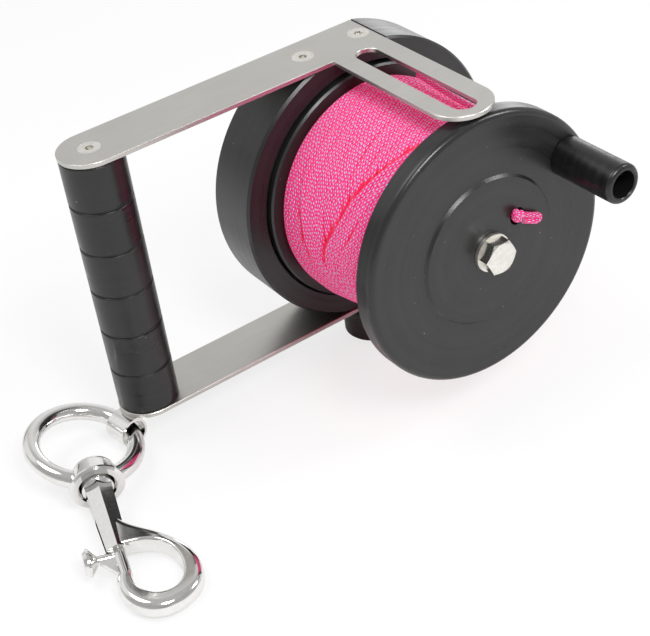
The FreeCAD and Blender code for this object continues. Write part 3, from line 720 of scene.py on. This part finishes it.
@dataclass(frozen=True)
class Course:
    """Turns laid side by side from a wandering rear edge to the front flange.

    The rear edge is given as (degrees, y). The turns below dip behind it between the two degrees
    of the groove, and the ease is the degrees over which the dip comes and goes.
    """

    name: str
    rear_edge: Knots
    turns: int
    lift: float
    groove: Range = (0.0, 0.0)
    ease: float = 8.0

    def presses(self, degrees: float) -> float:
        """Returns how far, from 0 to 1, the course presses the turns behind its rear edge."""
        start, end = self.groove
        return min(max(min(degrees - start, end - degrees) / self.ease, 0.0), 1.0)


@dataclass(frozen=True)
class Parting:
    """A gap between two neighbouring turns of a course, which it follows from start to end.

    The field after counts the turns between the course's rear edge and the gap.
    """

    course: str
    after: float
    start: float
    end: float
    half_width: float = 0.6
    reach: float = 2.6

    def push(self, course: Course, degrees: float, ahead: float) -> float:
        """Finds how far a turn gives way.

        Args:
            course: The turn's course.
            degrees: The place round the spool.
            ahead: How far the gap lies in front of the turn, in mm.

        Returns:
            The shift along the spool in mm.
        """
        middle, half = (self.start + self.end) / 2, (self.end - self.start) / 2
        near = abs((degrees - middle + 180.0) % 360.0 - 180.0) / half
        if near >= 1.0 or course.name != self.course:
            return 0.0
        away = ahead / self.reach
        return math.copysign(self.half_width, away) * math.cos(near * math.pi / 2) * math.exp(
            -away * away)


@dataclass
class WoundLine:
    """The braided line on the spool: a bed, three courses of turns, its loose end and its knot.

    A shoulder is (width, depth), and a wander is (waves per turn, mm, phase). Behind the rear
    edge of a later course the turns dip into a groove, which drifts back by mm per degree. The
    loose route is (degrees, rise over the loose radius) at each y of the loose end.
    """

    diameter: float = 2.4
    pitch: float = 2.15
    steps: int = 90
    first_degrees: float = 200.0
    surface: float = 49.2
    barrel: float = 14.1
    rear: float = -28.2
    front: float = -91.2
    front_room: float = 0.1
    rear_shoulder: Range = (6.0, 4.2)
    front_shoulder: Range = (3.0, 2.0)
    overrun_drop: float = 1.3
    overrun_deepest: float = 2.6
    courses: tuple[Course, ...] = (
        Course("bed_turns", ((0, -29.7), (90, -29.5), (180, -29.8), (270, -29.6)),
               turns=28, lift=0.0),
        Course("crossing_turns", (
            (0, -36.0), (30, -38.0), (60, -41.0), (74, -43.9), (89, -47.0), (99, -51.8),
            (109, -60.9), (125, -74.0), (145, -85.0), (180, -88.5), (220, -85.0),
            (260, -71.0), (300, -50.0), (330, -39.0)),
               turns=25, lift=0.8, groove=(70.0, 122.0)),
        Course("outer_turns", (
            (0, -89.0), (16, -86.5), (30, -81.9), (45, -76.4), (57, -72.1), (71, -67.5),
            (83, -61.9), (91, -61.0), (98, -66.0), (105, -71.5), (116, -79.0), (135, -86.5),
            (180, -89.5), (270, -90.0), (330, -90.0)),
               turns=14, lift=1.6, groove=(0.0, 132.0)),
    )
    partings: tuple[Parting, ...] = (
        Parting("crossing_turns", 7.15, 66.0, 86.0),
        Parting("crossing_turns", 3.02, 14.0, 36.0, half_width=0.4),
        Parting("crossing_turns", 8.05, 30.0, 50.0, half_width=0.4),
        Parting("crossing_turns", 13.1, 42.0, 62.0, half_width=0.4),
        Parting("outer_turns", 3.21, 84.0, 108.0),
        Parting("outer_turns", 1.22, 92.0, 118.0),
        Parting("outer_turns", 4.14, 60.0, 80.0),
        Parting("bed_turns", 4.72, 84.0, 116.0, half_width=0.5),
    )
    groove_behind: float = 1.9
    groove_half_width: float = 1.3
    groove_depth: float = 1.7
    groove_drift_from: float = 84.0
    groove_drift: float = 0.07
    edge_lift: float = 0.2
    edge_reach: float = 0.9
    end_dive: float = 2.5
    end_rate: float = 12.0
    wander: tuple[Triple, ...] = (
        (0.37, 0.10, 0.4), (1.63, 0.09, 2.1), (2.71, 0.07, 4.4), (5.23, 0.04, 1.3))
    wander_rise: float = 0.6
    sag: Knots = ((0, 0.0), (60, 0.0), (90, 0.1), (110, 0.4), (126, 0.6), (170, 1.2),
                  (230, 2.2), (290, 2.9), (318, 2.9), (340, 1.0))
    front_sag: Knots = ((0, 0.0), (80, 0.0), (100, 0.045), (126, 0.14), (180, 0.14),
                        (240, 0.05), (300, 0.0), (330, 0.0))
    front_sag_start: float = -42.0
    front_sag_reach: float = 30.0
    bed_depth: float = 6.0
    bed_points: int = 16
    bed_steps: int = 72
    loose_route: Knots = ((-14.0, 0.0), (-14.2, 0.0), (-14.7, 0.3), (-14.6, 1.0), (-14.1, 2.2))
    loose_y: tuple[float, ...] = (-91.35, -79.34, -66.37, -55.64, -46.7)
    loose_radius: float = 51.4
    loose_length: float = 44.8
    loose_diameter: float = 2.4
    spline_order: int = 3
    spline_steps: int = 12
    cord_bevel: int = 3

    def drop(self, y: float) -> float:
        """Finds how far the winding falls beside a flange.

        Args:
            y: The place along the spool in mm.

        Returns:
            The fall in mm.
        """
        fall = 0.0
        for side, (width, depth) in ((self.rear - y, self.rear_shoulder),
                                     (y - self.front, self.front_shoulder)):
            if side < width:
                near = 1 - max(side, 0.0) / width
                fall = max(fall, depth * (1 - math.sqrt(1 - near * near)))
        return fall

    def sunk(self, degrees: float, y: float) -> float:
        """Returns how far the winding hangs inside its full round, in mm."""
        forward = min(max(self.front_sag_start - y, 0.0), self.front_sag_reach)
        return (max(closed_curve(self.sag, degrees), 0.0)
                + max(closed_curve(self.front_sag, degrees), 0.0) * forward)

    def envelope(self, degrees: float, y: float) -> float:
        """Returns the radius of the winding's outside at a place, in mm."""
        lift = max(course.lift for course in self.courses if course.lift == 0.0
                   or y <= closed_curve(course.rear_edge, degrees) + self.edge_reach)
        return self.surface + lift - self.drop(y) - self.sunk(degrees, y)

    def mark_depth(self, mesh: bpy.types.Mesh) -> None:
        """Notes on every point of a course how far it lies under the winding's outside, in mm.

        Args:
            mesh: The course's mesh.
        """
        # The braid's finish paints shade in the crevices by this depth.
        depth = mesh.attributes.new(DEPTH, "FLOAT", "POINT")
        for vertex, mark in zip(mesh.vertices, depth.data):
            x, y, z = vertex.co / MM
            mark.value = self.envelope(math.degrees(math.atan2(-x, z)), y) - math.hypot(x, z)

    def groove_at(self, course: Course, degrees: float, y: float) -> float:
        """Finds how far a turn dips just behind the rear edge of a course laid over it.

        Args:
            course: The turn's course.
            degrees: The place round the spool.
            y: The place along the spool in mm.

        Returns:
            The dip in mm.
        """
        degrees %= 360.0
        behind = self.groove_behind + max(degrees - self.groove_drift_from,
                                          0.0) * self.groove_drift
        dip = 0.0
        for later in self.courses[self.courses.index(course) + 1:]:
            away = abs(y - closed_curve(later.rear_edge, degrees) - behind)
            away /= self.groove_half_width
            if away < 1.0:
                dip = max(dip, self.groove_depth * math.cos(away * math.pi / 2)
                          * later.presses(degrees))
        return dip

    def place(self, course: Course, turns: float) -> Vector:
        """Finds a point of a course's centre line.

        Args:
            course: The course.
            turns: How many turns lie between the course's start and the point.

        Returns:
            The point in metres.
        """
        degrees = 360.0 * turns + self.first_degrees
        stray = sum(size * math.sin(rate * turns * math.tau + phase)
                    for rate, size, phase in self.wander)
        y = closed_curve(course.rear_edge, degrees) - self.pitch * turns + stray
        y += sum(parting.push(course, degrees, (parting.after - turns) * self.pitch)
                 for parting in self.partings)
        foremost = self.front + self.diameter / 2 + self.front_room
        overrun = max(foremost - y, 0.0)
        y = max(y, foremost)
        ends = min(turns, course.turns - turns) * self.end_rate
        radius = (self.surface - self.diameter / 2 + course.lift - self.drop(y)
                  + self.wander_rise * stray - self.sunk(degrees, y)
                  - self.groove_at(course, degrees, y) + self.edge_lift * max(0.0, 1.0 - turns)
                  - min(self.overrun_drop * overrun, self.overrun_deepest)
                  - max(0.0, 1.0 - ends) * self.end_dive)
        return on_spool(radius, degrees, y)

    def tube(self, name: str, points: list[Vector], diameter: float, smooth: bool
             ) -> bpy.types.Object:
        """Makes a cord along points.

        Args:
            name: The piece's name.
            points: The line's points in metres.
            diameter: The cord's diameter in mm.
            smooth: Whether the points steer a smooth spline or lie on the line.

        Returns:
            The curve's object.
        """
        curve = bpy.data.curves.new(name, "CURVE")
        curve.dimensions = "3D"
        spline = curve.splines.new("NURBS" if smooth else "POLY")
        spline.points.add(len(points) - 1)
        for place, point in zip(spline.points, points):
            place.co = (*point, 1.0)
        if smooth:
            spline.order_u = self.spline_order
            spline.use_endpoint_u = True
            curve.resolution_u = self.spline_steps
        curve.bevel_depth = diameter / 2 * MM
        curve.bevel_resolution = self.cord_bevel
        curve.use_fill_caps = True
        return add_object(name, curve)

    def as_mesh(self, curve: bpy.types.Object) -> bpy.types.Object:
        """Turns a cord's curve into a mesh of the same name, with its map along the line.

        Args:
            curve: The curve's object, which is removed.

        Returns:
            The mesh's object.
        """
        bpy.context.view_layer.update()
        graph = bpy.context.evaluated_depsgraph_get()
        mesh = bpy.data.meshes.new_from_object(curve.evaluated_get(graph), depsgraph=graph)
        name = curve.name
        bpy.data.objects.remove(curve)
        mesh.shade_smooth()
        return add_object(name, mesh)

    def finish(self, piece: bpy.types.Object, material: bpy.types.Material,
               *nodes: str) -> None:
        """Dresses a piece of the line and hangs it on the spool.

        Args:
            piece: The piece.
            material: Its finish.
            *nodes: The CAD nodes that it stands for.
        """
        piece.data.materials.clear()
        piece.data.materials.append(material)
        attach(piece, "spool")
        if nodes:
            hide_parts(*nodes)
        log.info("%s rides on the spool", piece.name)

    def build_bed(self) -> None:
        """Spins the closed bed that shows between the turns."""
        ring = bmesh.new()
        low = self.surface - self.diameter / 2 - self.bed_depth
        outline = [(self.barrel, self.rear)]
        for step in range(self.bed_points + 1):
            y = self.rear + (self.front - self.rear) * (0.5 - 0.5 * math.cos(
                math.pi * step / self.bed_points))
            outline.append((low - self.drop(y), y))
        outline.append((self.barrel, self.front))
        corners = [ring.verts.new((radius * MM, y * MM, 0.0)) for radius, y in outline]
        edges = [ring.edges.new(pair) for pair in zip(corners, corners[1:] + corners[:1])]
        bmesh.ops.spin(ring, geom=corners + edges, cent=(0, 0, 0), axis=(0, 1, 0),
                       angle=math.tau, steps=self.bed_steps, use_merge=True,
                       use_duplicate=False)
        bmesh.ops.remove_doubles(ring, verts=ring.verts, dist=MERGE_DISTANCE)
        bmesh.ops.recalc_face_normals(ring, faces=ring.faces)
        piece = add_shape("line_bed", ring)
        piece.data.shade_smooth()
        self.finish(piece, DeepLine().material(), "line_core")

    def build_courses(self) -> None:
        """Lays the courses of turns."""
        for course in self.courses:
            points = [self.place(course, step / self.steps)
                      for step in range(course.turns * self.steps + 1)]
            piece = self.as_mesh(self.tube(course.name, points, self.diameter, False))
            self.mark_depth(piece.data)
            braid = BraidedLine(course.name + "_braid", length_of(points))
            nodes = ("line_winding",) if course.lift == 0.0 else ()
            self.finish(piece, braid.material(), *nodes)

    def build_loose_end(self) -> None:
        """Lays the line's loose end over the turns, towards the guide."""
        points = [on_spool(self.loose_radius + rise, degrees, y)
                  for (degrees, rise), y in zip(self.loose_route, self.loose_y)]
        piece = self.tube("loose_end", points, self.loose_diameter, True)
        braid = BraidedLine("loose_end_braid", self.loose_length * MM)
        self.finish(piece, braid.material(), "line_tail")

    def build(self) -> None:
        """Builds every piece of the line."""
        self.build_bed()
        self.build_courses()
        self.build_loose_end()
        Knot().build(self)


@dataclass
class Knot:
    """The line's inner end, tied in an overhand knot in the front flange's hole.

    The lead, the middle of the loop and the bight are counted from the hole's mouth.
    """

    mouth: Vector = field(default_factory=lambda: Vector((14.2, -102.0, 9.6)))
    diameter: float = 2.4
    lead: tuple[Triple, ...] = ((0.0, 3.0, 0.0), (0.0, 1.0, 0.0))
    middle: Vector = field(default_factory=lambda: Vector((-1.7, -2.3, 2.2)))
    size: float = 0.62
    rise: float = 1.3
    tilt: float = 25.0
    loop_start: float = 35.0
    loop_sweep: float = 290.0
    loop_steps: int = 14
    bight: tuple[Triple, ...] = (
        (2.1, -1.7, 0.5), (4.2, -1.5, -0.7), (6.5, -1.6, -1.8), (8.6, -1.5, -2.7),
        (10.2, -1.5, -4.0), (8.8, -1.5, -5.6), (6.0, -1.6, -4.3), (3.8, -1.5, -3.2),
        (1.4, -1.7, -2.0))

    def route(self) -> list[Vector]:
        """Finds the cord's line: out of the hole, round the knot and back in a short bight.

        Returns:
            Its points in metres.
        """
        points = [Vector(place) for place in self.lead]
        turn = Matrix.Rotation(math.radians(self.tilt), 3, "Y")
        for step in range(self.loop_steps + 1):
            angle = math.radians(self.loop_start + self.loop_sweep * step / self.loop_steps)
            loop = Vector((math.sin(angle) + 2 * math.sin(2 * angle),
                           math.sin(3 * angle) * self.rise,
                           math.cos(angle) - 2 * math.cos(2 * angle)))
            points.append(turn @ loop * self.size + self.middle)
        points += [Vector(place) for place in self.bight]
        return [(self.mouth + point) * MM for point in points]

    def build(self, line: WoundLine) -> None:
        """Makes the knot and hangs it on the spool.

        Args:
            line: The line that the knot belongs to.
        """
        points = self.route()
        curve = line.tube("knotted_end", points, self.diameter, True)
        braid = BraidedLine("knot_braid", length_of(points))
        line.finish(line.as_mesh(curve), braid.material(), "line_knot")


@dataclass(frozen=True)
class WhiteFloor:
    """The floor's finish: white to the camera and in gloss, apart from the reel's shadow."""

    name: str = "white_floor"
    base: Colour = (0.86, 0.86, 0.86)
    roughness: float = 0.7
    camera_white: float = 0.74
    gloss_white: float = 0.5
    gloss_range: Range = (0.10, 0.34)

    def material(self) -> bpy.types.Material:
        """Makes the finish.

        Returns:
            The material.
        """
        shader = Shader(self.name)
        shader.dress(Base_Color=rgba(self.base), Roughness=self.roughness)
        camera, mirrored = shader.ray()
        open_floor = shader.span(shader.length(shader.place()), self.gloss_range,
                                 (0.0, self.gloss_white))
        seen = shader.math("MAXIMUM", shader.math("MULTIPLY", mirrored, open_floor),
                           shader.math("MULTIPLY", camera, self.camera_white))
        white = shader.add("Emission", {"Color": rgba((1.0, 1.0, 1.0)), "Strength": 1.0})
        blend = shader.add("MixShader", {0: seen, 1: shader.surface.outputs[0],
                                         2: white.outputs[0]})
        out = next(n for n in shader.tree.nodes if n.type == "OUTPUT_MATERIAL")
        shader.feed(out, "Surface", blend.outputs[0])
        return shader.material


@dataclass(frozen=True)
class Glow:
    """A bright patch of the surroundings, by the cosines at its edge and at its full light."""

    direction: Triple
    edge: float
    core: float
    strength: float


@dataclass(frozen=True)
class Surroundings:
    """White to the camera, a pale sky for the light, a soft tent with dark gaps in gloss."""

    name: str = "studio"
    sky_range: Range = (-0.1, 1.0)
    sky_level: Range = (0.30, 0.52)
    glows: tuple[Glow, ...] = (
        Glow((0.58, 0.76, 0.30), 0.70, 0.98, 0.44),
        Glow((-0.44, 0.71, 0.55), 0.86, 0.97, 0.45),
    )
    horizon: Range = (0.10, 0.42)
    behind: Triple = (0.62, 0.78, 0.0)
    behind_range: Range = (-0.1, 0.5)
    behind_share: Range = (0.35, 1.0)
    tent_scale: float = 2.2
    tent_range: Range = (0.42, 0.50)

    def build(self) -> None:
        """Makes the scene's world."""
        world = bpy.data.worlds.new(self.name)
        bpy.context.scene.world = world
        world.use_nodes = True
        world.node_tree.nodes.clear()
        nodes = Nodes(world.node_tree)
        place = nodes.add("TexCoord", {}).outputs["Generated"]
        height = nodes.add("SeparateXYZ", {0: place}).outputs[2]
        level = nodes.span(height, self.sky_range, self.sky_level)
        for glow in self.glows:
            patch = nodes.span(nodes.dot(place, glow.direction), (glow.edge, glow.core),
                               (0.0, glow.strength))
            level = nodes.math("ADD", level, patch)
        behind = nodes.span(nodes.dot(place, self.behind), self.behind_range, self.behind_share)
        sweep = nodes.math("MULTIPLY", nodes.span(height, self.horizon, (1.0, 0.0)), behind)
        tent = nodes.span(nodes.noise(place, self.tent_scale, 0.0), self.tent_range)
        camera, mirrored = nodes.ray()
        shown = nodes.math("MULTIPLY", mirrored, nodes.math("MULTIPLY", sweep, tent))
        white = rgba((1.0, 1.0, 1.0))
        light = nodes.add("Background", {"Color": white, "Strength": level})
        bright = nodes.add("Background", {"Color": white, "Strength": 1.0})
        blend = nodes.add("MixShader", {0: nodes.math("MAXIMUM", camera, shown),
                                        1: light.outputs[0], 2: bright.outputs[0]})
        nodes.add("OutputWorld", {0: blend.outputs[0]})


@dataclass(frozen=True)
class Lamp:
    """A round soft lamp, with its place and size in metres and its power in watts."""

    name: str
    place: Vector
    size: float
    power: float

    def build(self, aim: Vector) -> None:
        """Hangs the lamp.

        Args:
            aim: The point that it is turned to.
        """
        data = bpy.data.lights.new(self.name, "AREA")
        data.shape, data.size, data.energy = "DISK", self.size, self.power
        turn = (aim - self.place).to_track_quat("-Z", "Y").to_matrix().to_4x4()
        add_object(self.name, data).matrix_world = Matrix.Translation(self.place) @ turn


@dataclass
class Studio:
    """White floor, soft lamps, the surroundings and the camera."""

    camera_place: Vector = field(default_factory=lambda: Vector((-0.30701, -0.49210, 0.33371)))
    camera_right: Vector = field(default_factory=lambda: Vector((0.80518, -0.58230, -0.11232)))
    camera_up: Vector = field(default_factory=lambda: Vector((0.42067, 0.42734, 0.80026)))
    lens: float = 85.08
    sensor: float = 36.0
    shift: tuple[float, float] = (-0.0263, 0.0117)
    floor_size: float = 4.0
    lamp_aim: Vector = field(default_factory=lambda: Vector((0.0, -0.05, 0.0)))
    lamps: tuple[Lamp, ...] = (
        Lamp("key", Vector((-0.14, -0.77, 0.80)), 0.36, 6.5),
        Lamp("fill", Vector((0.78, -0.50, 0.66)), 0.32, 3.5),
        Lamp("top", Vector((-0.50, 0.15, 1.00)), 0.60, 4.0),
        Lamp("rim", Vector((0.86, 0.74, 0.14)), 0.40, 1.0),
    )

    def build_camera(self) -> None:
        """Sets the camera where the photograph was taken from."""
        data = bpy.data.cameras.new("camera")
        data.lens, data.sensor_width, data.sensor_fit = self.lens, self.sensor, "HORIZONTAL"
        data.shift_x, data.shift_y = self.shift
        back = self.camera_right.cross(self.camera_up)
        turn = Matrix((self.camera_right, self.camera_up, back)).transposed()
        camera = add_object("camera", data)
        camera.matrix_world = Matrix.Translation(self.camera_place) @ turn.to_4x4()
        bpy.context.scene.camera = camera

    def build_floor(self) -> None:
        """Lays the floor at the object's lowest point."""
        level = min(corner[2] for corner in CAD_BOX)
        plane = bmesh.new()
        bmesh.ops.create_grid(plane, x_segments=1, y_segments=1, size=self.floor_size)
        bmesh.ops.translate(plane, verts=plane.verts, vec=(0, 0, level))
        floor = add_shape("floor", plane)
        floor.data.materials.append(WhiteFloor().material())

    def build(self) -> None:
        """Builds the studio."""
        bpy.context.scene.view_settings.view_transform = "Standard"
        self.build_camera()
        self.build_floor()
        Surroundings().build()
        for lamp in self.lamps:
            lamp.build(self.lamp_aim)


def main() -> None:
    """Builds the line, every finish and the studio."""
    logging.basicConfig(level=logging.INFO)
    WoundLine().build()
    for part in (HandFrame(), SpoolAndCrank(), Lock(), SnapHook()):
        part.dress()
    Studio().build()
    bpy.context.view_layer.update()


if __name__ == "__main__":
    main()
